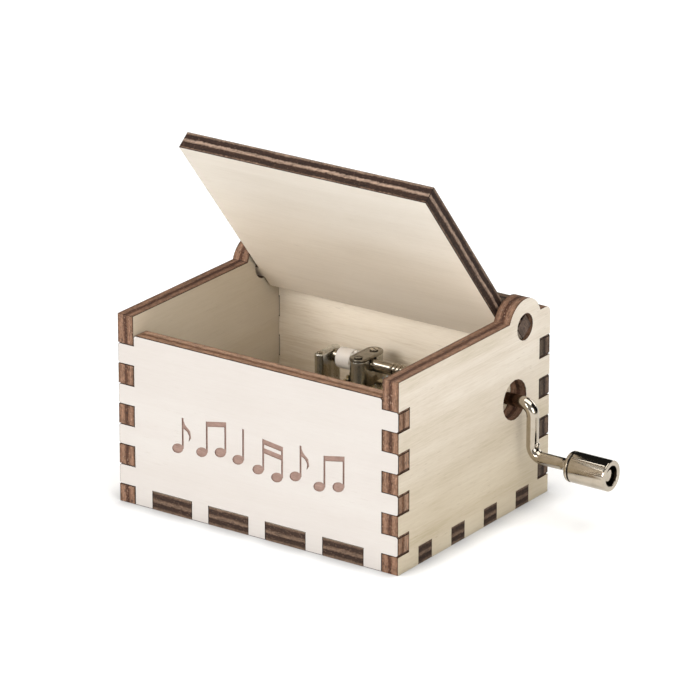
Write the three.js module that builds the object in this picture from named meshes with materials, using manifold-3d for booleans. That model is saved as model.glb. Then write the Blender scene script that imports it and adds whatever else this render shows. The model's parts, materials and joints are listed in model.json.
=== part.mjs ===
// Hand-crank music box: a laser-cut three-ply case with a hinged lid, holding an
// eighteen-note movement that a bent wire crank drives through the right panel.
// Millimetres, +Z up. The origin is the middle of the case's footprint on its bottom
// face. +X is the crank side and +Y is the hinge side.
import * as THREE from 'three';
import { mergeVertices } from 'three/addons/utils/BufferGeometryUtils.js';
import Module from 'manifold-3d';

const wasm = await Module();
wasm.setup();

// ---- Driving dimensions ----------------------------------------------------------------

const CASE = { width: 64, depth: 50.7, height: 38, ply: 3.6, frontHeight: 34.25 };
const KERF = 0.06;                       // gap that the laser leaves on each side of a joint
const FINGER = { pitch: 4.08, count: 4, cornerRadius: 0.35 };
const FRONT_TABS = { width: 9, pitch: 13.1, count: 4 };
const SIDE_TABS = { width: 4.3, pitch: 10.94, count: 4 };
const EAR = { radius: 5.55, hole: 2.67, rearCorner: 1.5 };
const LID = { sideGap: 0.45, rearReach: 4.6, pegWidth: 3.4, pegInset: 0.2, openAngle: 51.2 };
const PIVOT = { y: 16.64, z: CASE.height - CASE.ply / 2 - 0.07 };

const CRANK = {
  y: 13.4, z: 22.45, radius: 1.2, journal: 0.75, hole: 4, armX: 36.1, armLength: 10.42, bend: 2.3,
  bendSteps: 6, journalStart: -10.85, shoulder: -9.2, blindEnd: 0.3, counterbore: 1.35,
};
const KNOB = { start: 44.85, length: 8.9, radius: 3, bore: 1.3, recess: 2, recessDepth: 1.4 };
const GEAR = { module: 0.352, pinionTeeth: 10, drumTeeth: 40, width: 0.5, backlash: 0.16 };
const GEAR_DISTANCE = GEAR.module * (GEAR.pinionTeeth + GEAR.drumTeeth) / 2;

const DRUM = {
  y: CRANK.y, z: CRANK.z - GEAR_DISTANCE, start: 1.3, length: 18.6, radius: 6.3, wall: 0.8, pin: 0.7,
};
const ARBOR = { start: -10.8, end: 22.3, radius: 0.9, clearance: 0.08, endGap: 0.2, chamfer: 0.15 };
const NOTES = { count: 18, pitch: 0.98, first: 2.25 };

const BED = { x0: -13.2, x1: 24.4, y0: -12.4, y1: 18.4, z0: CASE.ply + 0.1, z1: 5.6, corner: 2 };
const LEFT_POST = { x: -11.25, width: 1.95, y0: 8.8, y1: 15.9, top: 23.85 };
const RIGHT_POST = { x: -3.9, width: 3.5, y0: 9.5, y1: 18, top: 23.65 };
const CAP = { thickness: 0.62, overhang: 0.1 };
const STAND = { y0: -11.9, y1: -6.6, top: 12.55 };
const COMB = {
  x0: 0.9, x1: 20.6, y0: -11.7, tooth: 0.76, thickness: 0.9, heel: 1.9, tipGap: 0.1,
  longest: 14.2, taper: 5,
};
const BRACKET = { x0: 20.75, thickness: 1.3, width: 6.6, foot: 3.2, screwInset: 1.2 };
const WEIGHTS = { count: 7, width: 2.5, tipGap: 0.9, depth: 2.5, step: 0.15, overlap: 0.4 };
const SEAT_GAP = 0.05;                   // clearance under a part that is screwed down
const CAP_GAP = 0.03;
const HEAD_GAP = 0.02;                   // clearance under a screw's head
const SCREW_GAP = 0.1;                   // clearance around a screw's thread

const MOUNT_SCREW = { radius: 1, head: 1.9, headHeight: 1.2, top: 5.35, sink: 0.25, rim: 0.2, gap: 0.12 };
const MOUNT_SCREW_PLACES = [[-9.8, -8.6], [22, -8.6], [10.4, 15.9]];
const CAP_SCREW = { head: 0.85, headHeight: 0.2, radius: 0.42, length: 2.6 };
const CAP_SCREW_Y = [11, 16.3];
const LEFT_RIVET_Y = 9.85;
const COMB_SCREW = { head: 1.5, headHeight: 1, radius: 0.85, length: 3.6 };
const COMB_SCREW_X = [5.6, 15.9];
const COMB_SCREW_Y = -9.3;
const BRACKET_SCREW = { head: 1.1, headHeight: 0.7, radius: 0.6, length: 2.2 };
const LEFT_RIVET = { head: 0.62, headHeight: 0.3, radius: 0.35, length: 2 };
const SLOT = { width: 0.28, mountWidth: 0.5, depth: 0.55 };   // depth is a share of the head

// Along X: a smooth sleeve on the left and the toothed pinion on the right.
const PINION = { start: -8, toothed: -4.7, end: -4.1, sleeve: 2.05, clearance: 0.04, chamfer: 0.3 };
const DRUM_GEAR = { offset: 0.1, hubStart: -2.5, hub: 2.4 };
const TOOTH = { addendum: 0.68, dedendum: 0.98, flank: 22 };
const DRUM_END = { floor: 1.2, cap: 1, capInset: 0.1 };
const PIN = { tip: 0.2, root: 0.24, buried: 0.4 };
const CRIMP = { width: 0.9, height: 0.64, reach: 1.52, knobGap: 0.95 };
const RIBS = { first: 4.35, pitch: 0.85, width: 0.4, count: 4, radius: 1.45 };
const RIVET_END = { radius: 1.45, height: 0.8, rim: 0.45, crown: 0.9, gap: 0.08 };
const KNOB_GROOVE = { start: 0.6, end: 1, depth: 0.22, slope: 0.1 };
const KNOB_EDGE = 0.3;
const OVERRUN = 1;                       // how far a cutting tool runs past what it cuts

// ---- Finishes ---------------------------------------------------------------------------

const FINISH = {
  plywood: { color: 0xe0d4bd, roughness: 0.8, metalness: 0 },
  zinc: { color: 0x8f8d84, roughness: 0.42, metalness: 0.9 },
  nickel: { color: 0xd9d4cb, roughness: 0.14, metalness: 1 },
  steel: { color: 0xa9aaab, roughness: 0.3, metalness: 1 },
  brass: { color: 0xc2a566, roughness: 0.28, metalness: 1 },
  nylon: { color: 0xe9e1d4, roughness: 0.5, metalness: 0 },
};

// ---- Solids -----------------------------------------------------------------------------

function solid(geometry) {
  const bare = geometry.clone();
  bare.deleteAttribute('normal');
  bare.deleteAttribute('uv');
  const merged = mergeVertices(bare, 1e-4);
  return new wasm.Manifold(new wasm.Mesh({
    numProp: 3,
    vertProperties: new Float32Array(merged.attributes.position.array),
    triVerts: new Uint32Array(merged.index.array),
  }));
}

function geometryOf(manifold) {
  const mesh = manifold.getMesh();
  const positions = new Float32Array(mesh.vertProperties);
  const geometry = new THREE.BufferGeometry();
  geometry.setAttribute('position', new THREE.BufferAttribute(positions, 3));
  geometry.setIndex(new THREE.BufferAttribute(new Uint32Array(mesh.triVerts), 1));
  geometry.computeVertexNormals();
  return geometry;
}

function join(first, ...others) {
  return others.reduce((sum, other) => sum.add(other), first);
}

function cut(first, ...others) {
  return others.reduce((rest, other) => rest.subtract(other), first);
}

function node(name, shape, finish) {
  const geometry = shape.isBufferGeometry ? shape : geometryOf(shape);
  const mesh = new THREE.Mesh(geometry, new THREE.MeshStandardMaterial(FINISH[finish]));
  mesh.name = name;
  return mesh;
}

function box(x0, x1, y0, y1, z0, z1) {
  const geometry = new THREE.BoxGeometry(x1 - x0, y1 - y0, z1 - z0);
  return solid(geometry.translate((x0 + x1) / 2, (y0 + y1) / 2, (z0 + z1) / 2));
}

function rodX(radius, x0, x1, y = 0, z = 0, sides = 24) {
  const geometry = new THREE.CylinderGeometry(radius, radius, x1 - x0, sides);
  return solid(geometry.rotateZ(-Math.PI / 2).translate((x0 + x1) / 2, y, z));
}

function rodZ(radius, z0, z1, x = 0, y = 0, sides = 16) {
  const geometry = new THREE.CylinderGeometry(radius, radius, z1 - z0, sides);
  return solid(geometry.rotateX(Math.PI / 2).translate(x, y, (z0 + z1) / 2));
}

// A solid of revolution about Y. The profile is [distance along the axis, radius] pairs.
function lathe(profile, segments) {
  const points = profile.map(([along, radius]) => new THREE.Vector2(radius, along));
  return new THREE.LatheGeometry(points, segments);
}

function latheX(profile, segments) {
  return solid(lathe(profile, segments).rotateZ(-Math.PI / 2));
}

function latheZ(profile, segments) {
  return solid(lathe(profile, segments).rotateX(Math.PI / 2));
}

// An outline drawn in X and Y, extruded towards +Z from z = 0.
function extrudeZ(shape, thickness, curveSegments = 12) {
  return new THREE.ExtrudeGeometry(shape, { depth: thickness, bevelEnabled: false, curveSegments });
}

// An outline drawn in X and Z, extruded towards +Y from y = 0.
function extrudeY(shape, thickness, curveSegments = 12) {
  return extrudeZ(shape, thickness, curveSegments).rotateX(Math.PI / 2).translate(0, thickness, 0);
}

// An outline drawn in Y and Z, extruded towards +X from x = 0.
function extrudeX(shape, thickness, curveSegments = 12) {
  const turn = new THREE.Matrix4().makeBasis(
    new THREE.Vector3(0, 1, 0),
    new THREE.Vector3(0, 0, 1),
    new THREE.Vector3(1, 0, 0),
  );
  return extrudeZ(shape, thickness, curveSegments).applyMatrix4(turn);
}

function roundedRectangle(x0, x1, y0, y1, radius) {
  const shape = new THREE.Shape();
  shape.moveTo(x0 + radius, y0);
  shape.lineTo(x1 - radius, y0);
  shape.absarc(x1 - radius, y0 + radius, radius, -Math.PI / 2, 0);
  shape.lineTo(x1, y1 - radius);
  shape.absarc(x1 - radius, y1 - radius, radius, 0, Math.PI / 2);
  shape.lineTo(x0 + radius, y1);
  shape.absarc(x0 + radius, y1 - radius, radius, Math.PI / 2, Math.PI);
  shape.lineTo(x0, y0 + radius);
  shape.absarc(x0 + radius, y0 + radius, radius, Math.PI, Math.PI * 1.5);
  return shape;
}

// ---- Case panels ------------------------------------------------------------------------

// The middles of a row of tabs that is centred on zero.
function tabCentres({ pitch, count }) {
  return Array.from({ length: count }, (_, i) => (i - (count - 1) / 2) * pitch);
}

// Heights at which a front or back panel's fingers start. The side panels keep the rest.
function fingerStarts() {
  return Array.from({ length: FINGER.count }, (_, i) => CASE.ply + 2 * i * FINGER.pitch);
}

// The vertical edge of a side panel, from the bottom up, as [inward distance, height] pairs.
function sideEdge() {
  const edge = [];
  for (const start of fingerStarts()) {
    edge.push([0, start - KERF]);
    edge.push([CASE.ply, start - KERF]);
    edge.push([CASE.ply, start + FINGER.pitch + KERF]);
    edge.push([0, start + FINGER.pitch + KERF]);
  }
  return edge;
}

// The bottom edge of a panel, with a notch for each tab of the bottom panel.
function bottomNotches(tabs) {
  const half = tabs.width / 2 + KERF;
  return tabCentres(tabs).flatMap((middle) => [
    [middle - half, 0],
    [middle - half, CASE.ply + KERF],
    [middle + half, CASE.ply + KERF],
    [middle + half, 0],
  ]);
}

function sidePanel(hasCrankHole) {
  const half = CASE.depth / 2;
  const outline = new THREE.Shape();
  outline.moveTo(-half, 0);
  for (const [y, z] of bottomNotches(SIDE_TABS)) outline.lineTo(y, z);
  outline.lineTo(half, 0);
  for (const [inward, z] of sideEdge()) outline.lineTo(half - inward, z);
  const top = CASE.height;
  outline.lineTo(half, top - EAR.rearCorner);
  outline.absarc(half - EAR.rearCorner, top - EAR.rearCorner, EAR.rearCorner, 0, Math.PI / 2);
  const rise = Math.asin((top - PIVOT.z) / EAR.radius);
  outline.absarc(PIVOT.y, PIVOT.z, EAR.radius, rise, Math.PI - rise);
  outline.lineTo(-half, top);
  for (const [inward, z] of sideEdge().reverse()) outline.lineTo(-half + inward, z);
  outline.closePath();
  outline.holes.push(new THREE.Path().absarc(PIVOT.y, PIVOT.z, EAR.hole, 0, Math.PI * 2, true));
  if (hasCrankHole) {
    outline.holes.push(new THREE.Path().absarc(CRANK.y, CRANK.z, CRANK.hole, 0, Math.PI * 2, true));
  }
  return extrudeX(outline, CASE.ply, 10);
}

// One finger end of a front or back panel, with its two outer corners rounded.
function fingerEnd(outline, side, start, inner) {
  const tip = side * (CASE.width / 2);
  const radius = FINGER.cornerRadius;
  const [z0, z1] = side > 0 ? [start, start + FINGER.pitch] : [start + FINGER.pitch, start];
  const step = Math.sign(z1 - z0) * radius;
  outline.lineTo(inner, z0);
  outline.lineTo(tip - side * radius, z0);
  outline.lineTo(tip, z0 + step);
  outline.lineTo(tip, z1 - step);
  outline.lineTo(tip - side * radius, z1);
  outline.lineTo(inner, z1);
}

function fingeredPanel(height) {
  const inner = CASE.width / 2 - CASE.ply - KERF;
  const outline = new THREE.Shape();
  outline.moveTo(-inner, 0);
  for (const [x, z] of bottomNotches(FRONT_TABS)) outline.lineTo(x, z);
  outline.lineTo(inner, 0);
  for (const start of fingerStarts()) fingerEnd(outline, 1, start, inner);
  outline.lineTo(inner, height - FINGER.cornerRadius);
  outline.lineTo(inner - FINGER.cornerRadius, height);
  outline.lineTo(-inner + FINGER.cornerRadius, height);
  outline.lineTo(-inner, height - FINGER.cornerRadius);
  for (const start of fingerStarts().reverse()) fingerEnd(outline, -1, start, -inner);
  outline.closePath();
  return extrudeY(outline, CASE.ply);
}

// One edge of the bottom panel: a tab in each notch of the wall, seen along that wall.
function tabbedEdge(tabs, inner, outer) {
  const half = tabs.width / 2;
  return tabCentres(tabs).flatMap((middle) => [
    [middle - half, inner],
    [middle - half, outer],
    [middle + half, outer],
    [middle + half, inner],
  ]);
}

// The screws stand on their heads, with the countersink on the underside of the bottom panel.
function mountScrewProfile(gap) {
  const { radius, head, headHeight, top, sink, rim } = MOUNT_SCREW;
  const low = gap > 0 ? -OVERRUN : sink;
  const high = top + gap * 2;
  return [
    [low, 0],
    [low, head + gap],
    [sink + rim, head + gap],
    [sink + headHeight, radius + gap],
    [high, radius + gap],
    [high, 0],
  ];
}

function mountScrew() {
  const { head, headHeight, sink } = MOUNT_SCREW;
  const half = SLOT.mountWidth / 2;
  const depth = headHeight * SLOT.depth;
  return cut(latheZ(mountScrewProfile(0), 16), box(-head, head, -half, half, -OVERRUN, sink + depth));
}

function bottomPanel() {
  const halfX = CASE.width / 2;
  const halfY = CASE.depth / 2;
  const innerX = halfX - CASE.ply - KERF;
  const innerY = halfY - CASE.ply - KERF;
  const outline = new THREE.Shape();
  outline.moveTo(-innerX, -innerY);
  for (const [x, y] of tabbedEdge(FRONT_TABS, innerY, halfY)) outline.lineTo(x, -y);
  outline.lineTo(innerX, -innerY);
  for (const [y, x] of tabbedEdge(SIDE_TABS, innerX, halfX)) outline.lineTo(x, y);
  outline.lineTo(innerX, innerY);
  for (const [x, y] of tabbedEdge(FRONT_TABS, innerY, halfY).reverse()) outline.lineTo(x, y);
  outline.lineTo(-innerX, innerY);
  for (const [y, x] of tabbedEdge(SIDE_TABS, innerX, halfX).reverse()) outline.lineTo(-x, y);
  outline.closePath();
  const holes = MOUNT_SCREW_PLACES.map(([x, y]) => (
    latheZ(mountScrewProfile(MOUNT_SCREW.gap), 16).translate([x, y, 0])
  ));
  return cut(solid(extrudeZ(outline, CASE.ply)), ...holes);
}

// The lid lies closed, with its pivot at the origin and its free edge towards -Y.
function lid() {
  const halfWidth = CASE.width / 2 - CASE.ply - LID.sideGap;
  const pegEnd = CASE.width / 2 - LID.pegInset;
  const front = -(CASE.depth / 2 + PIVOT.y);
  const halfPeg = LID.pegWidth / 2;
  const outline = new THREE.Shape();
  outline.moveTo(-halfWidth, front);
  outline.lineTo(halfWidth, front);
  outline.lineTo(halfWidth, -halfPeg);
  outline.lineTo(pegEnd, -halfPeg);
  outline.lineTo(pegEnd, halfPeg);
  outline.lineTo(halfWidth, halfPeg);
  outline.lineTo(halfWidth, LID.rearReach);
  outline.lineTo(-halfWidth, LID.rearReach);
  outline.lineTo(-halfWidth, halfPeg);
  outline.lineTo(-pegEnd, halfPeg);
  outline.lineTo(-pegEnd, -halfPeg);
  outline.lineTo(-halfWidth, -halfPeg);
  outline.closePath();
  return extrudeZ(outline, CASE.ply).translate(0, 0, -CASE.ply / 2);
}

// ---- Movement frame ---------------------------------------------------------------------

// A post's footprint: straight sides with a round end at the front and at the back.
function postShape({ x, width, y0, y1 }, grow = 0) {
  const radius = width / 2 + grow;
  const middle = x + width / 2;
  const front = y0 + width / 2;
  const back = y1 - width / 2;
  const shape = new THREE.Shape();
  shape.absarc(middle, back, radius, 0, Math.PI);
  shape.absarc(middle, front, radius, Math.PI, Math.PI * 2);
  shape.closePath();
  return shape;
}

function post(size) {
  return solid(extrudeZ(postShape(size), size.top - BED.z0, 8)).translate([0, 0, BED.z0]);
}

const POST_MIDDLE = { left: LEFT_POST.x + LEFT_POST.width / 2, right: RIGHT_POST.x + RIGHT_POST.width / 2 };
const POST_FACE = { left: LEFT_POST.x + LEFT_POST.width, right: RIGHT_POST.x + RIGHT_POST.width };
const COMB_BOTTOM = STAND.top + SEAT_GAP;
const COMB_TOP = COMB_BOTTOM + COMB.heel;
const BRACKET_BOTTOM = BED.z1 + SEAT_GAP;
const BRACKET_SEAT = BRACKET_BOTTOM + BRACKET.thickness;
const BRACKET_SCREW_PLACE = [BRACKET.x0 + BRACKET.thickness + BRACKET.screwInset, DRUM.y];
const ARBOR_BORE = ARBOR.radius + ARBOR.clearance;

// The clearance hole for a screw whose head sits at the given height.
function screwHole(screw, x, y, seat) {
  const radius = screw.radius + SCREW_GAP;
  return rodZ(radius, seat - screw.length - SCREW_GAP * 2, seat + screw.length, x, y, 12);
}

function mountScrewHole(x, y) {
  const radius = MOUNT_SCREW.radius + MOUNT_SCREW.gap;
  return rodZ(radius, BED.z0 - OVERRUN, MOUNT_SCREW.top + SCREW_GAP, x, y);
}

function movementFrame() {
  const outline = roundedRectangle(BED.x0, BED.x1, BED.y0, BED.y1, BED.corner);
  const plate = solid(extrudeZ(outline, BED.z1 - BED.z0, 5)).translate([0, 0, BED.z0]);
  const stand = box(COMB.x0, COMB.x1, STAND.y0, STAND.y1, BED.z0, STAND.top);
  const body = join(plate, stand, post(LEFT_POST), post(RIGHT_POST));
  const rightEnd = POST_FACE.right + OVERRUN;
  const leftEnd = POST_FACE.left + OVERRUN;
  const slotStart = RIGHT_POST.x - OVERRUN;
  const counterboreStart = CRANK.shoulder - ARBOR.endGap;
  const half = CRANK.radius + ARBOR.clearance;
  const journal = CRANK.journal + ARBOR.clearance;
  const capSeat = RIGHT_POST.top + CAP.thickness;
  return cut(
    body,
    rodX(half, slotStart, rightEnd, CRANK.y, CRANK.z),
    box(slotStart, rightEnd, CRANK.y - half, CRANK.y + half, CRANK.z, RIGHT_POST.top + OVERRUN),
    rodX(journal, CRANK.journalStart - CRANK.blindEnd, leftEnd, CRANK.y, CRANK.z, 16),
    rodX(CRANK.counterbore, counterboreStart, leftEnd, CRANK.y, CRANK.z, 20),
    rodX(ARBOR_BORE, ARBOR.start - ARBOR.endGap, rightEnd, DRUM.y, DRUM.z, 16),
    ...CAP_SCREW_Y.map((y) => screwHole(CAP_SCREW, POST_MIDDLE.right, y, capSeat)),
    ...COMB_SCREW_X.map((x) => screwHole(COMB_SCREW, x, COMB_SCREW_Y, COMB_TOP)),
    screwHole(BRACKET_SCREW, ...BRACKET_SCREW_PLACE, BRACKET_SEAT),
    screwHole(LEFT_RIVET, POST_MIDDLE.left, LEFT_RIVET_Y, LEFT_POST.top),
    ...MOUNT_SCREW_PLACES.map(([x, y]) => mountScrewHole(x, y)),
  );
}

function shaftCap() {
  const outline = postShape(RIGHT_POST, CAP.overhang);
  const blank = solid(extrudeZ(outline, CAP.thickness - CAP_GAP, 8));
  return cut(blank, ...CAP_SCREW_Y.map((y) => screwHole(CAP_SCREW, POST_MIDDLE.right, y, CAP.thickness)));
}

// A slotted cheese-head screw. Its seat, under the head, is at z = 0.
function screw({ head, headHeight, radius, length }, slotted = true) {
  const rim = headHeight / 3;
  const body = latheZ([
    [-length, 0],
    [-length, radius],
    [0, radius],
    [0, head],
    [headHeight - rim, head],
    [headHeight, head - rim],
    [headHeight, 0],
  ], 16);
  if (!slotted) return body;
  const half = SLOT.width / 2;
  const low = headHeight * (1 - SLOT.depth);
  return cut(body, box(-head, head, -half, half, low, headHeight + OVERRUN));
}

function drumBearing() {
  const half = BRACKET.width / 2;
  const shape = new THREE.Shape();
  shape.moveTo(DRUM.y - half, BRACKET_BOTTOM);
  shape.lineTo(DRUM.y + half, BRACKET_BOTTOM);
  shape.lineTo(DRUM.y + half, DRUM.z);
  shape.absarc(DRUM.y, DRUM.z, half, 0, Math.PI);
  shape.closePath();
  const wall = solid(extrudeX(shape, BRACKET.thickness, 8)).translate([BRACKET.x0, 0, 0]);
  const footEnd = BRACKET.x0 + BRACKET.foot;
  const foot = box(BRACKET.x0, footEnd, DRUM.y - half, DRUM.y + half, BRACKET_BOTTOM, BRACKET_SEAT);
  return cut(
    join(wall, foot),
    rodX(ARBOR_BORE, BRACKET.x0 - OVERRUN, footEnd, DRUM.y, DRUM.z, 16),
    screwHole(BRACKET_SCREW, ...BRACKET_SCREW_PLACE, BRACKET_SEAT),
  );
}

// ---- Comb -------------------------------------------------------------------------------

function noteX(index) {
  return NOTES.first + index * NOTES.pitch;
}

// The low notes, on the left, have the longest teeth.
function toothLength(index) {
  return COMB.longest - COMB.taper * (index / (NOTES.count - 1)) ** 0.8;
}

// The tuning weight under a low note's tooth, near its tip. Lower notes have deeper ones.
function weight(index, tips) {
  const half = COMB.tooth / 2;
  const end = tips - WEIGHTS.tipGap;
  const top = COMB_TOP - COMB.thickness + WEIGHTS.overlap;
  const low = top - WEIGHTS.depth + WEIGHTS.overlap + index * WEIGHTS.step;
  return box(noteX(index) - half, noteX(index) + half, end - WEIGHTS.width, end, low, top);
}

function comb() {
  const tips = DRUM.y - DRUM.radius - DRUM.pin - COMB.tipGap;
  const outline = new THREE.Shape();
  outline.moveTo(COMB.x0, COMB.y0);
  outline.lineTo(COMB.x1, COMB.y0);
  outline.lineTo(COMB.x1, tips - toothLength(NOTES.count - 1));
  for (let index = NOTES.count - 1; index >= 0; index -= 1) {
    const left = noteX(index) - COMB.tooth / 2;
    const right = noteX(index) + COMB.tooth / 2;
    const root = tips - toothLength(index);
    outline.lineTo(right, root);
    outline.lineTo(right, tips);
    outline.lineTo(left, tips);
    outline.lineTo(left, root);
  }
  outline.lineTo(COMB.x0, tips - toothLength(0));
  outline.closePath();
  const heel = box(COMB.x0, COMB.x1, COMB.y0, STAND.y1, COMB_BOTTOM, COMB_TOP);
  const teeth = solid(extrudeZ(outline, COMB.thickness)).translate([0, 0, COMB_TOP - COMB.thickness]);
  const weights = Array.from({ length: WEIGHTS.count }, (_, index) => weight(index, tips));
  const holes = COMB_SCREW_X.map((x) => screwHole(COMB_SCREW, x, COMB_SCREW_Y, COMB_TOP));
  return cut(join(teeth, heel, ...weights), ...holes);
}

// ---- Drum and gears ---------------------------------------------------------------------

// Which notes have a pin at each of the thirty-two beats: a rising and falling run of
// scale steps over a slow bass, so no tune is spelled out.
const BEATS = 32;

function notesAt(beat) {
  const run = Math.abs(((beat * 3) % 22) - 11) + 6;
  const bass = (Math.floor(beat / 4) * 2) % 6;
  return beat % 4 === 0 ? [run, bass] : [run];
}

function drum() {
  const { radius, wall, length } = DRUM;
  const inner = radius - wall;
  const shell = latheX([
    [0, ARBOR_BORE],
    [0, radius],
    [length, radius],
    [length, inner],
    [DRUM_END.floor, inner],
    [DRUM_END.floor, ARBOR_BORE],
    [0, ARBOR_BORE],
  ], 40);
  const pins = [];
  for (let beat = 0; beat < BEATS; beat += 1) {
    const angle = (beat + 0.5) * (2 * Math.PI / BEATS);
    for (const note of notesAt(beat)) {
      const pin = new THREE.CylinderGeometry(PIN.tip, PIN.root, DRUM.pin + PIN.buried, 5);
      pin.translate(noteX(note) - DRUM.start, radius + (DRUM.pin - PIN.buried) / 2, 0);
      pins.push(solid(pin.rotateX(angle)));
    }
  }
  return join(shell, ...pins);
}

function drumEndCap() {
  const rim = DRUM.radius - DRUM.wall - ARBOR.clearance;
  const { cap } = DRUM_END;
  return latheX([[0, ARBOR_BORE], [0, rim], [cap, rim], [cap, ARBOR_BORE], [0, ARBOR_BORE]], 32);
}

// A spur gear lying across X. The first tooth's middle is turned by phase from +Y.
function gearShape(teeth, phase, bore) {
  const pitchRadius = GEAR.module * teeth / 2;
  const tip = pitchRadius + GEAR.module * TOOTH.addendum;
  const root = pitchRadius - GEAR.module * TOOTH.dedendum;
  const pitchHalf = Math.PI * GEAR.module / 4 - GEAR.backlash / 2;
  const slope = Math.tan(THREE.MathUtils.degToRad(TOOTH.flank));
  const rootHalf = (pitchHalf + slope * (pitchRadius - root)) / root;
  const tipHalf = (pitchHalf - slope * (tip - pitchRadius)) / tip;
  const shape = new THREE.Shape();
  for (let tooth = 0; tooth < teeth; tooth += 1) {
    const middle = phase + tooth * 2 * Math.PI / teeth;
    const corners = [[root, -rootHalf], [tip, -tipHalf], [tip, tipHalf], [root, rootHalf]];
    corners.forEach(([radius, turn], index) => {
      const y = radius * Math.cos(middle + turn);
      const z = radius * Math.sin(middle + turn);
      if (tooth === 0 && index === 0) shape.moveTo(y, z);
      else shape.lineTo(y, z);
    });
  }
  shape.closePath();
  shape.holes.push(new THREE.Path().absarc(0, 0, bore, 0, Math.PI * 2, true));
  return shape;
}

function crankPinion() {
  const { start, toothed, end, sleeve, clearance, chamfer } = PINION;
  const bore = CRANK.radius + clearance;
  const plain = latheX([
    [start, bore],
    [start, sleeve - chamfer],
    [start + chamfer, sleeve],
    [toothed + clearance, sleeve],
    [toothed + clearance, bore],
    [start, bore],
  ], 32);
  const shape = gearShape(GEAR.pinionTeeth, -Math.PI / 2, bore);
  const teeth = solid(extrudeX(shape, end - toothed, 8)).translate([toothed, 0, 0]);
  return join(plain, teeth);
}

// A thin stamped wheel on a longer hub.
function drumGear() {
  const { offset, hubStart, hub } = DRUM_GEAR;
  const phase = Math.PI / 2 + Math.PI / GEAR.drumTeeth;
  const wheel = solid(extrudeX(gearShape(GEAR.drumTeeth, phase, ARBOR_BORE), GEAR.width, 8));
  const boss = latheX([
    [hubStart, ARBOR_BORE],
    [hubStart, hub],
    [GEAR.width, hub],
    [GEAR.width, ARBOR_BORE],
    [hubStart, ARBOR_BORE],
  ], 24);
  return join(wheel, boss).translate([PINION.toothed + offset, 0, 0]);
}

function drumArbor() {
  const { start, end, radius, chamfer } = ARBOR;
  return latheX([
    [start, 0],
    [start, radius - chamfer],
    [start + chamfer, radius],
    [end - chamfer, radius],
    [end, radius - chamfer],
    [end, 0],
  ], 16);
}

// ---- Crank ------------------------------------------------------------------------------

// A polyline with one step for each straight and a few for each bend.
class WirePath extends THREE.Curve {
  constructor(points) {
    super();
    this.points = points;
  }

  getPoint(t, target = new THREE.Vector3()) {
    const spans = this.points.length - 1;
    const index = Math.min(Math.floor(t * spans), spans - 1);
    return target.lerpVectors(this.points[index], this.points[index + 1], t * spans - index);
  }

  getUtoTmapping(u) {
    return u;
  }
}

// A quarter bend in the XZ plane, from one angle to another about its centre.
function bendPoints(x, z, from, to) {
  const { bend, bendSteps } = CRANK;
  return Array.from({ length: bendSteps + 1 }, (_, i) => {
    const angle = from + (to - from) * i / bendSteps;
    return new THREE.Vector3(x + bend * Math.cos(angle), 0, z + bend * Math.sin(angle));
  });
}

// A bar through the wire: the ears that stand out where the wire is pinched.
function crimp(x, z) {
  const { width, height, reach } = CRIMP;
  return box(x - width / 2, x + width / 2, -reach, reach, z - height / 2, z + height / 2);
}

// The rings rolled into the shaft to the right of the post.
function ribs() {
  return Array.from({ length: RIBS.count }, (_, index) => {
    const start = RIBS.first + index * RIBS.pitch;
    return rodX(RIBS.radius, start, start + RIBS.width, 0, 0, 20);
  });
}

// The crank is one bent wire along X, from its thin journal to the head that keeps the knob on.
function crank() {
  const { armX, armLength, bend, radius } = CRANK;
  const knobEnd = KNOB.start + KNOB.length;
  const headBase = knobEnd - KNOB.recessDepth + RIVET_END.gap;
  const path = new WirePath([
    new THREE.Vector3(CRANK.shoulder, 0, 0),
    ...bendPoints(armX - bend, -bend, Math.PI / 2, 0),
    ...bendPoints(armX + bend, bend - armLength, Math.PI, Math.PI * 1.5),
    new THREE.Vector3(headBase + RIVET_END.gap, 0, -armLength),
  ]);
  const section = new THREE.Shape().absarc(0, 0, radius, 0, Math.PI * 2);
  const wire = new THREE.ExtrudeGeometry(section, {
    steps: path.points.length - 1, extrudePath: path, curveSegments: 12,
  });
  const journal = rodX(CRANK.journal, CRANK.journalStart, PINION.start, 0, 0, 16);
  const head = latheX([
    [headBase, 0],
    [headBase, RIVET_END.radius],
    [headBase + RIVET_END.rim, RIVET_END.radius],
    [headBase + RIVET_END.height, RIVET_END.crown],
    [headBase + RIVET_END.height, 0],
  ], 20);
  return join(
    solid(wire),
    journal,
    head.translate([0, 0, -armLength]),
    crimp(KNOB.start - CRIMP.knobGap, -armLength),
    ...ribs(),
  );
}

function crankKnob() {
  const { length, radius, bore, recess, recessDepth } = KNOB;
  const { start, end, depth, slope } = KNOB_GROOVE;
  return latheX([
    [0, bore],
    [0, radius - KNOB_EDGE],
    [KNOB_EDGE, radius],
    [start, radius],
    [start + slope, radius - depth],
    [end - slope, radius - depth],
    [end, radius],
    [length - KNOB_EDGE, radius],
    [length, radius - KNOB_EDGE],
    [length, recess],
    [length - recessDepth, recess],
    [length - recessDepth, bore],
    [0, bore],
  ], 32);
}

// ---- Assembly ---------------------------------------------------------------------------

function place(mesh, x, y, z) {
  mesh.position.set(x, y, z);
  return mesh;
}

function caseParts() {
  const right = CASE.width / 2;
  const front = CASE.depth / 2;
  return [
    node('bottom_panel', bottomPanel(), 'plywood'),
    place(node('front_panel', fingeredPanel(CASE.frontHeight), 'plywood'), 0, -front, 0),
    place(node('back_panel', fingeredPanel(CASE.height), 'plywood'), 0, front - CASE.ply, 0),
    place(node('left_panel', sidePanel(false), 'plywood'), -right, 0, 0),
    place(node('right_panel', sidePanel(true), 'plywood'), right - CASE.ply, 0, 0),
  ];
}

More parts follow.
